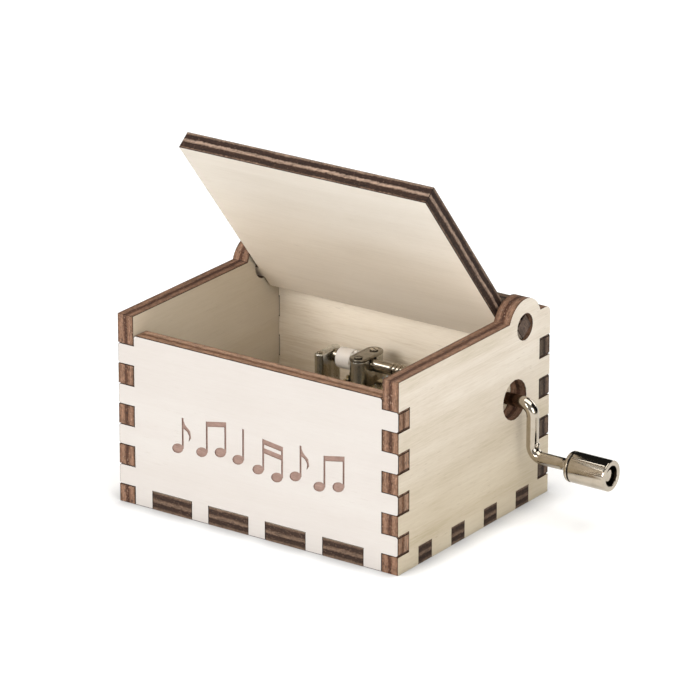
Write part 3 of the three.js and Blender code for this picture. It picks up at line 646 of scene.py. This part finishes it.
def panels():
    low, high = ({n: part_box(n)[side] for n in SHIFTS} for side in (0, 1))
    up = (0, 0, 1)
    front = panel("front_panel", "front_sheet", ((1, 0, 0), up, (0, -1, 0)),
                  Vector((0, low["front_panel"].y, 0)), PALE, FRONT_EDGE)
    tools = [loose("note", bm, ENGRAVED) for bm in ornament()]
    for tool in tools:
        start = Vector((*SHIFTS["front_panel"], 0)) * MM
        tool.matrix_world = front.matrix_world @ Matrix.Translation(start)
    bpy.context.view_layer.update()
    carve(front, tools)
    panel("back_panel", "back_sheet", ((-1, 0, 0), up, (0, 1, 0)),
          Vector((0, high["back_panel"].y, 0)), STREAKED, BACK_EDGE)
    panel("right_panel", "right_sheet", ((0, 1, 0), up, (1, 0, 0)),
          Vector((high["right_panel"].x, 0, 0)), SIDE, WALL_EDGE)
    panel("left_panel", "left_sheet", ((0, -1, 0), up, (-1, 0, 0)),
          Vector((low["left_panel"].x, 0, 0)), PLAIN, WALL_EDGE)
    panel("bottom_panel", "bottom_sheet", ((1, 0, 0), (0, -1, 0), (0, 0, -1)),
          Vector((0, 0, low["bottom_panel"].z)), CREAM, BASE_EDGE)
    hinge = next(j for j in frame["joints"] if j["name"] == "lid_hinge")
    tilt = math.radians(LID_ANGLE)
    lid_y = Vector((0, math.cos(tilt), -math.sin(tilt)))
    lid_z = Vector((0, math.sin(tilt), math.cos(tilt)))
    panel("lid", "lid_sheet", ((1, 0, 0), lid_y, lid_z),
          Vector(hinge["pos_m"]) + lid_z * PLY * MM / 2, LID_FACE, LID_EDGE, CREAM, PIN_END)


# ---- Movement ----------------------------------------------------------------------------

SHAFT_Y = (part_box("crank_knob")[0].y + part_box("crank_knob")[1].y) / 2 / MM
SHAFT_Z, DRUM_Z = 22.45, 13.65           # heights of the crank's shaft and of the drum's axis
SHAFT, DRUM = (0, SHAFT_Y, SHAFT_Z), (0, SHAFT_Y, DRUM_Z)
LEFT_POST = (-11.25, 1.95, 8.8, 15.9)    # x, width, front and back
RIGHT_POST = (-3.9, 3.5, 9.5, 18.0)
LEFT_TOP, RIGHT_TOP = 23.85, 23.65
BED_Z = (3.7, 5.6)                       # the bed's underside and top
COMB_STAND = ((0.9, -11.9, BED_Z[1] - 0.1), (20.6, -6.6, 12.55))
WIRE = 1.2                               # radius of the crank's wire
BORE = WIRE + 0.08
SLEEVE_BORE = WIRE + 0.04
JOURNAL = [(-10.6, 0.83), (-9.0, 0.83)]  # the hole for the shaft's thin end, and its mouth
JOURNAL_MOUTH = [(-9.42, 1.34), (-8.9, 1.4)]


def post(name, place, top, edge):
    """A cast post with round ends and a rounded top edge."""
    rings = [stadium(*place, 0, z) for z in (BED_Z[1] - 0.2, top - edge - 0.3, top - edge)]
    for turn in quarter(5):
        rings.append(stadium(*place, edge * (1 - math.cos(turn)),
                             top - edge + edge * math.sin(turn)))
    return make(name, ringed(rings), "case", [ZINC], "movement_frame")


def posts():
    left = post("left_post", LEFT_POST, LEFT_TOP, 0.38)
    carve(left, [loose("hole", turned(profile, 32, centre=SHAFT), ZINC)
                 for profile in (JOURNAL, JOURNAL_MOUTH)])
    right = post("right_post", RIGHT_POST, RIGHT_TOP, 0.12)
    start, end = RIGHT_POST[0] - 1, RIGHT_POST[0] + RIGHT_POST[1] + 1
    bore = turned([(start, BORE), (end, BORE)], 40, centre=SHAFT)
    slot = block((start, SHAFT_Y - BORE, SHAFT_Z), (end, SHAFT_Y + BORE, RIGHT_TOP + 1))
    carve(right, [loose("bore", bore, ZINC), loose("slot", slot, ZINC)])
    for obj in (left, right):
        bevel(obj, 0.10, segments=3, angle=50)
        shade(obj, 35)


def bed():
    """The cast plate under the movement, and the stand for the comb on it."""
    low, high = bounds_mm("movement_frame")
    under, top = BED_Z
    corner, steps = 2.0, 8
    corners = ((high.x - corner, high.y - corner, 0), (low.x + corner, high.y - corner, 90),
               (low.x + corner, low.y + corner, 180), (high.x - corner, low.y + corner, 270))
    rings = []
    for inset, z in ((0.15, under), (0, under + 0.15), (0, top - 0.35), (0.1, top - 0.12),
                     (0.35, top)):
        ring = []
        for x, y, start in corners:
            for k in range(steps + 1):
                a = math.radians(start + 90 * k / steps)
                ring.append((x + (corner - inset) * math.cos(a),
                             y + (corner - inset) * math.sin(a), z))
        rings.append(ring)
    make("movement_bed", ringed(rings), "case", [ZINC], "movement_frame", smooth=35)
    stand = make("comb_stand", block(*COMB_STAND), "case", [ZINC], "movement_frame")
    bevel(stand, 0.35, segments=4)


def cap_plate():
    """The pressed plate on the right post, its edge rolled over on top."""
    x, width, y0, y1 = RIGHT_POST
    grow, roll = 0.1, 0.2
    bottom, top = RIGHT_TOP + 0.03, RIGHT_TOP + 0.62
    place = (x - grow, width + 2 * grow, y0 - grow, y1 + grow)
    levels = [(0.10, bottom), (0.02, bottom + 0.06), (0, bottom + 0.12), (0, top - roll)]
    levels += [(roll * (1 - math.cos(t)), top - roll + roll * math.sin(t)) for t in quarter(5)]
    levels += [(0.42, top), (0.5, top - 0.07)]
    rings = [stadium(*place, inset, z) for inset, z in levels]
    make("cap_plate", ringed(rings), "case", [CAP_METAL], "shaft_cap", smooth=40)


def slotted(obj, x, y, half_length, half_width, z0, z1, turn, material):
    """Cuts a screw's driver slot, turned by some degrees."""
    tool = block((-half_length, -half_width, z0), (half_length, half_width, z1))
    turn_and_move(tool, math.radians(turn), "Z", (x, y, 0))
    carve(obj, [loose("slot", tool, material)])


def screw(node, radius, height, slot=None, dome=0.0, material=NICKEL):
    """A screw or rivet head on a short shank. Its seat is the underside of the head, and its
    slot's width, share of the head's height and turn in degrees are given."""
    low, high = bounds_mm(node)
    x, y = (low.x + high.x) / 2, (low.y + high.y) / 2
    seat, shank = high.z - height, radius * 0.5
    profile = rounded([(low.z, 0), (low.z, shank), (seat, shank, 0), (seat, radius),
                       (seat + height - dome, radius, min(height, radius) * 0.4),
                       (seat + height, 0)], 0.06)
    obj = make(node + "_piece", turned(profile, 40, "Z", (x, y, 0)), "case",
               [material], node)
    if slot:
        width, share, turn = slot
        slotted(obj, x, y, radius * 1.2, width / 2, seat + height * (1 - share), seat + 9, turn,
                material)
        bevel(obj, 0.035, angle=40)
    shade(obj, 35)


def mount_screw(node, turn):
    """A countersunk screw whose slotted head faces down, inside the bottom panel."""
    low, high = bounds_mm(node)
    x, y, base, tip = (low.x + high.x) / 2, (low.y + high.y) / 2, low.z, high.z
    profile = [(base, 0), (base, 1.82), (base + 0.06, 1.9), (base + 0.2, 1.9), (base + 1.2, 1)]
    z, root, crest, pitch = base + 1.5, 0.84, 1.0, 0.45
    while z < tip - 0.5:
        profile += [(z, root), (z + 0.16, crest), (z + 0.32, root)]
        z += pitch
    profile += [(tip - 0.12, root), (tip, 0.72), (tip, 0)]
    obj = make(node + "_piece", turned(profile, 32, "Z", (x, y, 0)), "case",
               [NICKEL], node)
    slotted(obj, x, y, 2.2, 0.25, base - 1, base + 0.66, turn, NICKEL)
    shade(obj, 30)


def screws():
    screw("cap_screw_front", 0.85, 0.18, (0.3, 0.7, 20), material=CAP_METAL)
    screw("cap_screw_rear", 0.85, 0.18, (0.3, 0.7, -28))
    screw("left_post_rivet", 0.62, 0.28, dome=0.12)
    screw("comb_screw_left", 1.5, 1.0, (0.32, 0.45, 35))
    screw("comb_screw_right", 1.5, 1.0, (0.32, 0.45, -20))
    screw("drum_bearing_screw", 1.1, 0.7, (0.28, 0.45, 65))
    for node, turn in (("mount_screw_left", 15), ("mount_screw_right", 80),
                       ("mount_screw_rear", -40)):
        mount_screw(node, turn)


GEAR_MODULE, GEAR_EASE = 0.352, 0.08     # size of the teeth, and of their corners' easing
PINION_TEETH, WHEEL_TEETH = 10, 40


def gear(teeth, x0, x1, bore, phase, centre):
    """A spur gear across X, its outer corners eased."""
    pitch = GEAR_MODULE * teeth / 2
    tip, root = pitch + GEAR_MODULE * 0.66, pitch - GEAR_MODULE * 0.95
    half = math.pi / 2 / teeth
    flanks = ((root, -1.28), (pitch, -0.86), (tip, -0.42), (tip, 0.42), (pitch, 0.86), (root, 1.28))
    outline = []
    for tooth in range(teeth):
        middle = phase + tooth * 2 * math.pi / teeth
        outline += [(radius, middle + turn * half) for radius, turn in flanks]

    def ring(x, radii):
        return [(x, centre[1] + r * math.cos(a), centre[2] + r * math.sin(a))
                for r, (_, a) in zip(radii, outline)]

    full = [r for r, _ in outline]
    eased = [r - GEAR_EASE for r in full]
    inner = [bore] * len(outline)
    rings = [ring(x0, eased), ring(x0 + GEAR_EASE, full), ring(x1 - GEAR_EASE, full),
             ring(x1, eased), ring(x1, inner), ring(x0, inner)]
    return ringed([*rings, rings[0]], closed=False)


SLEEVE = {"start": -8, "end": -4.7, "radius": 2.05}
PINION_X = (-4.72, -4.1)


def shaft_parts():
    """The nylon sleeve with its pinion, on the crank's shaft."""
    start, end, radius = SLEEVE.values()
    profile = rounded([(start, SLEEVE_BORE, 0), (start, radius, 0.42), (end, radius, 0.05),
                       (end, SLEEVE_BORE, 0)], 0.1, 6)
    sleeve = turned(profile, 64, centre=SHAFT, closed=False)
    teeth = gear(PINION_TEETH, *PINION_X, SLEEVE_BORE, -math.pi / 2, SHAFT)
    make("shaft_sleeve", joined(sleeve, teeth), "crank", [NYLON], "crank_pinion",
         smooth=30)


ARBOR, ARBOR_BORE = 0.9, 0.98            # radii
SHELL = {"start": 1.3, "end": 19.9, "outer": 6.3, "inner": 5.5, "floor": 1.2}
DISC_RADIUS = 5.42
DRUM_PIN = [(6.1, 0.2), (6.9, 0.17), (6.98, 0.12), (7.0, 0)]   # distances from the axis and radii
NOTES, FIRST_NOTE, NOTE_PITCH = 18, 2.25, 0.98
BEATS = 64
WHEEL_X = (-4.6, -4.1)                   # start and end, as for the pinion
HUB = {"start": -7.1, "end": -4.58, "radius": 2.4}


def melody(beat):
    """The notes with a pin at a beat: rising and falling scale steps, and no real tune."""
    run = abs(((beat * 3) % 22) - 11) + 6
    notes = {run}
    if beat % 4 == 0:
        notes.add((beat // 8 * 2) % 6)
    if beat % 2 == 0:
        notes |= {(run + 2) % NOTES, (run + 11) % NOTES}
    return sorted(notes)


def drum_parts():
    start, end, outer, inner, floor = SHELL.values()
    shell = rounded([(start, ARBOR_BORE, 0), (start, outer, 0.12), (end, outer, 0.12),
                     (end, inner, 0.1), (start + floor, inner, 0.2),
                     (start + floor, ARBOR_BORE, 0)], 0.1, 3)
    make("drum_shell", turned(shell, 96, centre=DRUM, closed=False), "drum",
         [DRUM_METAL], "drum", smooth=30)
    pins = []
    for beat in range(BEATS):
        angle = 2 * math.pi * (beat + 0.5) / BEATS
        for note in melody(beat):
            pin = turned(DRUM_PIN, 8, "Z", (FIRST_NOTE + note * NOTE_PITCH, 0, 0))
            turn_and_move(pin, angle, "X", DRUM)
            pins.append(pin)
    make("drum_pins", joined(*pins), "drum", [STEEL], "drum", smooth=40)
    low, high = bounds_mm("drum_end_cap")
    x0, x1, dish = low.x, high.x, high.x - 0.25
    disc = rounded([(x0, ARBOR_BORE, 0), (x0, DISC_RADIUS), (x1, DISC_RADIUS), (x1, 4.6, 0.1),
                    (dish, 4.3, 0.2), (dish, 2.2, 0.2), (x1, 1.9, 0.1), (x1, ARBOR_BORE, 0)],
                   0.12, 3)
    make("drum_disc", turned(disc, 64, centre=DRUM, closed=False), "drum",
         [DRUM_METAL], "drum_end_cap", smooth=30)
    wheel = gear(WHEEL_TEETH, *WHEEL_X, ARBOR_BORE, math.pi / 2 + math.pi / WHEEL_TEETH, DRUM)
    start, end, radius = HUB.values()
    hub = rounded([(start, ARBOR_BORE, 0), (start, radius, 0.25), (end, radius, 0),
                   (end, ARBOR_BORE, 0)], 0.2, 4)
    hub = turned(hub, 48, centre=DRUM, closed=False)
    make("drum_wheel", joined(wheel, hub), "drum", [DRUM_METAL], "drum_gear",
         smooth=30)
    low, high = bounds_mm("drum_arbor")
    arbor = rounded([(low.x, 0), (low.x, ARBOR), (high.x, ARBOR), (high.x, 0)], 0.16, 4)
    make("arbor_pin", turned(arbor, 32, centre=DRUM), "drum", [STEEL], "drum_arbor",
         smooth=30)


BRACKET_EDGE, BRACKET_BEVEL = 2.0, 0.16  # edges longer than the first are rounded by the second


def comb_and_bearing():
    comb = make("comb_piece", cad_bmesh("comb"), "case", [STEEL], "comb")
    bevel(comb, 0.05, angle=60)
    # The screw hole comes up to the bracket's end face, whose own edges stay sharp.
    bracket = cad_bmesh("drum_bearing")
    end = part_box("drum_bearing")[1].x - 0.1 * MM
    corners = [e for e in bracket.edges if e.is_convex and e.calc_face_angle(0) > math.radians(40)
               and e.calc_length() > BRACKET_EDGE * MM and min(v.co.x for v in e.verts) < end]
    bmesh.ops.bevel(bracket, geom=corners, offset=BRACKET_BEVEL * MM, segments=2, profile=0.5,
                    affect="EDGES")
    bmesh.ops.remove_doubles(bracket, verts=bracket.verts, dist=MERGE)
    make("drum_bearing_piece", bracket, "case", [STEEL], "drum_bearing")


# ---- Crank -------------------------------------------------------------------------------

ARM_X, ARM, BEND = 36.1, 10.42, 2.3      # the arm's middle, its drop, and its bends' radius
KNOB_START, KNOB_LENGTH, KNOB_RADIUS, KNOB_BORE = 44.85, 8.9, 3.0, 1.3
KNOB_END = KNOB_START + KNOB_LENGTH
GROOVE = 0.22                            # depth
RIM, RECESS, RECESS_DEPTH = 2.0, 1.96, 1.4      # the recess's radii at its mouth and floor
# A ring rolled into the shaft, as distances along it and radii.
RIB = [(0, 1.22), (0.08, 1.4), (0.2, 1.45), (0.32, 1.4), (0.4, 1.22)]
RIBS, FIRST_RIB, RIB_PITCH = 4, 4.35, 0.85
# The flattened stretch before the knob, as distances from its middle and flattening.
PINCH = [(-0.95, 1), (-0.75, 1), (-0.45, 1.2), (-0.15, 1.26), (0.15, 1.26), (0.45, 1.2), (0.75, 1)]
PINCH_X = KNOB_START - 0.95
# The wire's riveted end, as distances from the knob's end and radii.
RIVET = [(-1.32, WIRE), (-1.3, 1.42), (-0.9, 1.44), (-0.68, 1.3), (-0.54, 1.0), (-0.52, 0.3)]


def wire_path():
    """Points along the wire with their direction, radius and flattening."""
    ahead, down = Vector((1, 0, 0)), Vector((0, 0, -1))
    stops = [(-10.85, 0.64), (-10.72, 0.75), (-9.3, 0.75), (-9.2, 1.05), (-9.05, WIRE),
             (-8.9, WIRE), (4.0, WIRE), (4.2, WIRE)]
    for k in range(RIBS):
        stops += [(FIRST_RIB + RIB_PITCH * k + x, r) for x, r in RIB]
    last = FIRST_RIB + RIB_PITCH * (RIBS - 1)
    stops += [(last + 0.6, WIRE), (ARM_X - BEND - 0.3, WIRE), (ARM_X - BEND, WIRE)]
    path = [(ahead * x, ahead, r, 1.0) for x, r in stops]
    angles = quarter(16)
    for a in angles:
        spot = Vector((ARM_X - BEND + BEND * math.sin(a), 0, -BEND + BEND * math.cos(a)))
        path.append((spot, ahead * math.cos(a) + down * math.sin(a), WIRE,
                     1 + 0.05 * math.sin(2 * a)))
    for a in [0, *angles]:
        spot = Vector((ARM_X + BEND - BEND * math.cos(a), 0, BEND - ARM - BEND * math.sin(a)))
        path.append((spot, ahead * math.sin(a) + down * math.cos(a), WIRE,
                     1 + 0.05 * math.sin(2 * a)))
    handle = [(PINCH_X + x, WIRE, flat) for x, flat in PINCH]
    handle += [(KNOB_END + x, r, 1) for x, r in RIVET]
    return path + [(Vector((x, 0, -ARM)), ahead, r, flat) for x, r, flat in handle]


def wire_rings():
    """The crank's wire: shaft, two bends and handle, with the rings rolled into the shaft."""
    rings = []
    side = Vector((0, 1, 0))
    count = 32
    for point, tangent, radius, flat in wire_path():
        up = tangent.cross(side)
        ring = []
        for i in range(count):
            a = 2 * math.pi * i / count
            ring.append(tuple(Vector(SHAFT) + point + side * radius * flat * math.cos(a)
                              + up * radius / flat ** 0.5 * math.sin(a)))
        rings.append(ring)
    return rings


NUB = [(-1.0, 0.62), (0.15, 0.6), (0.38, 0.5), (0.52, 0.32), (0.58, 0.1)]
NUB_LEAN = 72


def crank():
    """The wire with its stop nub, raised with a punch inside the lower bend."""
    nub = turned(NUB, 24, "Z")
    spot = (ARM_X + WIRE - 0.2, SHAFT_Y, SHAFT_Z + BEND - ARM + 0.15)
    turn_and_move(nub, math.radians(NUB_LEAN), "Y", spot)
    make("crank_wire", joined(ringed(wire_rings()), nub), "crank", [NICKEL], "crank",
         smooth=40)


def knob():
    """The turned knob: a groove near its start, and a recess round the wire's end, both in a dark
    metal as painted shade.
    """
    start, end, radius = KNOB_START, KNOB_END, KNOB_RADIUS
    groove, recess = radius - GROOVE, end - RECESS_DEPTH
    profile = rounded([
        (start, KNOB_BORE, 0), (start, radius - 0.08, 0.3), (start + 0.28, radius, 0.1),
        (start + 0.6, radius, 0.05), (start + 0.64, groove, 0.04), (start + 0.94, groove, 0.04),
        (start + 1.0, radius, 0.05), (start + 1.2, radius, 0), (end - 0.5, radius, 0),
        (end, radius, 0.32), (end, RIM, 0.16), (recess, RECESS, 0.1), (recess, KNOB_BORE, 0)],
        0.1, 5)
    axle = Vector((0, SHAFT_Y, SHAFT_Z - ARM))
    bm = turned(profile, 96, centre=axle, closed=False)
    for face in bm.faces:
        centre = face.calc_center_median() / MM - axle
        away = math.hypot(centre.y, centre.z)
        in_recess = away < RIM + 0.05 and centre.x < end - 0.2
        in_groove = away < radius - 0.1 and start + 0.6 < centre.x < start + 1
        # Faces in the groove and the recess take the dark metal: painted shade.
        face.material_index = 1 if in_recess or in_groove else 0
    make("knob_barrel", bm, "knob", [NICKEL, RECESS_SHADE_METAL], "crank_knob", smooth=35)


# ---- Stage -------------------------------------------------------------------------------

CONTACT_REACH, CONTACT_POWER = 6, 0.9    # how far the soft shadow reaches, and its strength
LIT_AT = (0, 0, 0.03)                    # the middle of the box, in metres
# Name, place, size, watts and tint of each soft box.
SOFT_BOXES = (("overhead", (0.25, 0.05, 1.2), (1.1, 1.1), 11, (1, 1, 1)),
              ("key", (-0.24, -1.14, 0.44), (0.55, 0.6), 12, (1, 0.985, 0.985)),
              ("fill", (1.0, -0.5, 0.4), (0.6, 0.6), 4.5, (1, 1, 1)),
              ("back", (0.15, 1.15, 0.4), (0.6, 0.5), 3, (1, 1, 1)))


def staged(name, data):
    obj = bpy.data.objects.new(name, data)
    bpy.context.scene.collection.objects.link(obj)
    return obj


def camera():
    """Low three-quarter view from the front right, from far off, as for a catalogue."""
    azimuth, elevation, roll = (math.radians(a) for a in (34.777, 20.670, 0.115))
    back = Vector((math.sin(azimuth) * math.cos(elevation),
                   -math.cos(azimuth) * math.cos(elevation), math.sin(elevation)))
    target = Vector((3.574, 0, 30.450)) * MM
    distance = 1.0
    data = bpy.data.cameras.new("camera")
    data.sensor_width = 36
    data.lens = 272.96
    data.clip_start = 0.01
    data.clip_end = 20
    obj = staged("camera", data)
    obj.location = target + back * distance
    turn = (-back).to_track_quat("-Z", "Y").to_matrix()
    obj.rotation_euler = (turn @ Matrix.Rotation(roll, 3, "Z")).to_euler()
    bpy.context.scene.camera = obj


def area_light(name, place, size, power, colour=(1, 1, 1)):
    """A soft box that faces the object."""
    data = bpy.data.lights.new(name, "AREA")
    data.shape = "RECTANGLE"
    data.size, data.size_y = size
    data.energy = power
    data.color = colour
    obj = staged(name, data)
    obj.location = place
    direction = Vector(LIT_AT) - obj.location
    obj.rotation_euler = direction.to_track_quat("-Z", "Y").to_euler()
    return obj


def strip_light():
    """A long narrow soft box over the left, for the lines of light on the metals. Its length
    lies back and up."""
    place = Vector((-0.66, -0.44, 0.95))
    obj = area_light("strip", place, (0.16, 0.95), 2.0)
    z = (place - Vector(LIT_AT)).normalized()
    along = Vector((0, 0.906, 0.423))
    y = (along - z * z.dot(along)).normalized()
    obj.matrix_world = basis(y.cross(z), y, z, place)


def floor():
    """White paper, with a painted soft shadow close to the object."""
    half = 3.0
    mesh = bpy.data.meshes.new("floor")
    mesh.from_pydata([(-half, -half, 0), (half, -half, 0), (half, half, 0), (-half, half, 0)], [],
                     [(0, 1, 2, 3)])
    n = Nodes("floor_paper")
    grain = n.noise((0.02, 0.02, 0.02), detail=2)
    paper = n.mix(grain, (0.93, 0.93, 0.925, 1), (0.95, 0.95, 0.945, 1))
    shade_near = n.contact_shade(CONTACT_REACH, CONTACT_POWER)
    n.set(Base_Color=n.mix(1, paper, shade_near, "MULTIPLY"), Roughness=0.9,
          Emission_Color=shade_near)
    n.shader.inputs["Specular IOR Level"].default_value = 0.1
    n.shader.inputs["Emission Strength"].default_value = 0.15
    mesh.materials.append(n.material)
    staged("floor", mesh)


def world():
    """Even light from all round, with a dark backdrop high behind the object for the metals."""
    made = bpy.data.worlds.new("studio")
    made.use_nodes = True
    tree = made.node_tree
    tree.nodes.clear()
    out = tree.nodes.new("ShaderNodeOutputWorld")
    background = tree.nodes.new("ShaderNodeBackground")
    direction = tree.nodes.new("ShaderNodeTexCoord")
    dot = tree.nodes.new("ShaderNodeVectorMath")
    dot.operation = "DOT_PRODUCT"
    dot.inputs[1].default_value = (0.1, 0.78, 0.62)
    edge = tree.nodes.new("ShaderNodeMapRange")
    edge.interpolation_type = "SMOOTHSTEP"
    edge.inputs["From Min"].default_value = 0.30
    edge.inputs["From Max"].default_value = 0.55
    colour = tree.nodes.new("ShaderNodeMix")
    colour.data_type = "RGBA"
    factor, light, dark = MIX_INPUTS
    colour.inputs[light].default_value = (0.36, 0.355, 0.35, 1)
    colour.inputs[dark].default_value = (0.02, 0.02, 0.02, 1)
    tree.links.new(direction.outputs["Generated"], dot.inputs[0])
    tree.links.new(dot.outputs["Value"], edge.inputs["Value"])
    tree.links.new(edge.outputs["Result"], colour.inputs[factor])
    tree.links.new(colour.outputs[MIX_OUTPUT], background.inputs[0])
    tree.links.new(background.outputs[0], out.inputs[0])
    bpy.context.scene.world = made


def studio():
    floor()
    world()
    for soft_box in SOFT_BOXES:
        area_light(*soft_box)
    strip_light()
    bpy.context.scene.view_settings.view_transform = "Standard"


camera()
studio()
panels()
posts()
bed()
cap_plate()
screws()
shaft_parts()
drum_parts()
comb_and_bearing()
crank()
knob()
